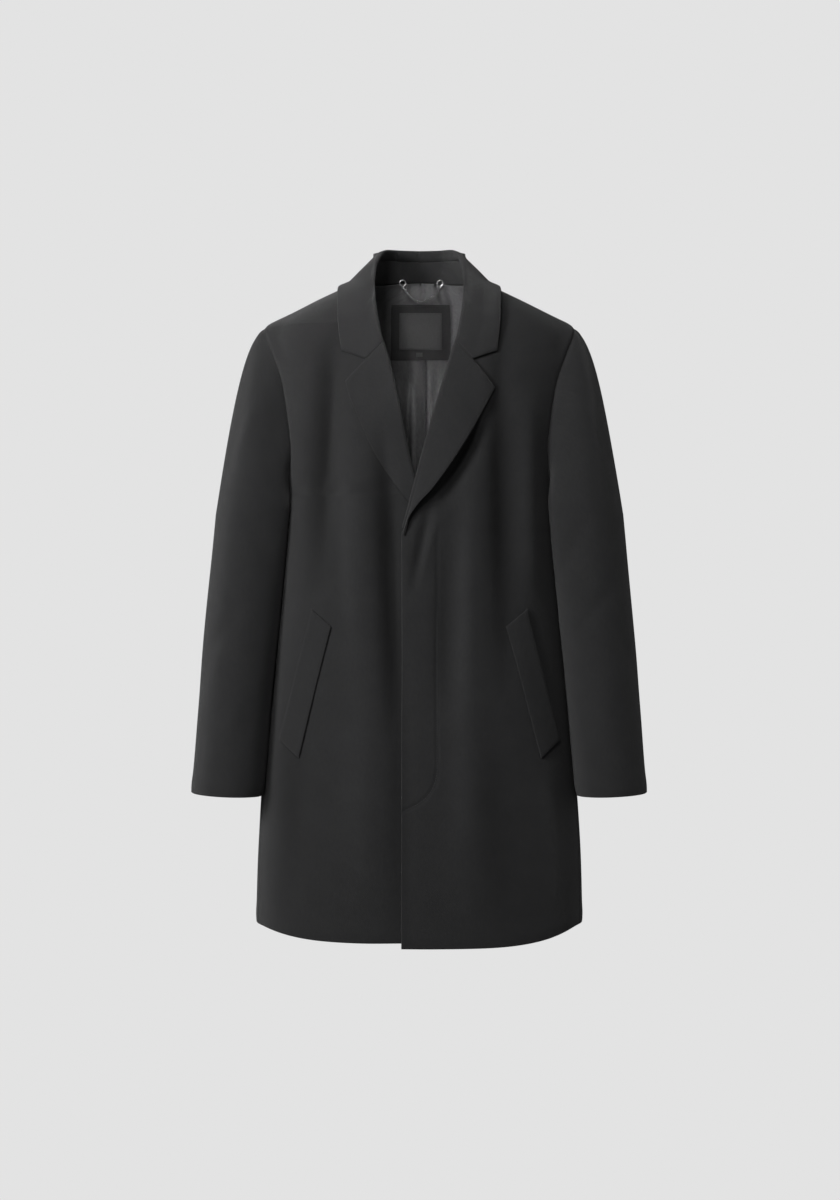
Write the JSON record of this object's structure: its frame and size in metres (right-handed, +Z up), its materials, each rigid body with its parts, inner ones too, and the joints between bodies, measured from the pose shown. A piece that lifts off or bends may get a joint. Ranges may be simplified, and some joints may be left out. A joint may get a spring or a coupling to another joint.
{
  "type": "twill coat",
  "caption": "Single-breasted overcoat in dark wool twill, cut to above the knee, with notched lapels, a hidden fly front, slanted welt pockets and a hanging chain.",
  "frame": {"origin": "between the two side neck points, level with them, where the wearer's shoulders carry the coat", "axes": "+Z up, +X to the wearer's left, +Y to the wearer's back, so the closed front faces -Y"},
  "size_m": [0.628, 0.2553, 0.9735],
  "materials": {
    "shell": "matt wool twill with a short nap, nearly black",
    "collar": "the same matt wool twill",
    "lining": "smooth lining cloth with a soft sheen, dark grey",
    "patch": "plain dark cloth",
    "label": "bare woven label cloth",
    "metal": "darkened steel"
  },
  "bodies": {
    "root": {"front_left": "shell", "front_right": "shell", "back_left": "shell", "back_right": "shell", "sleeve_upper_left": "shell", "sleeve_upper_right": "shell", "sleeve_under_left": "shell", "sleeve_under_right": "shell", "welt_left": "shell", "welt_right": "shell", "collar_leaf": "collar", "collar_stand": "collar", "lapel_left": "collar", "lapel_right": "collar", "lining_back_left": "lining", "lining_back_right": "lining", "neck_patch": "patch", "neck_label": "label", "size_tab": "label", "hanger_chain": "metal", "chain_ring_left": "metal", "chain_ring_right": "metal"}
  },
  "joints": []
}
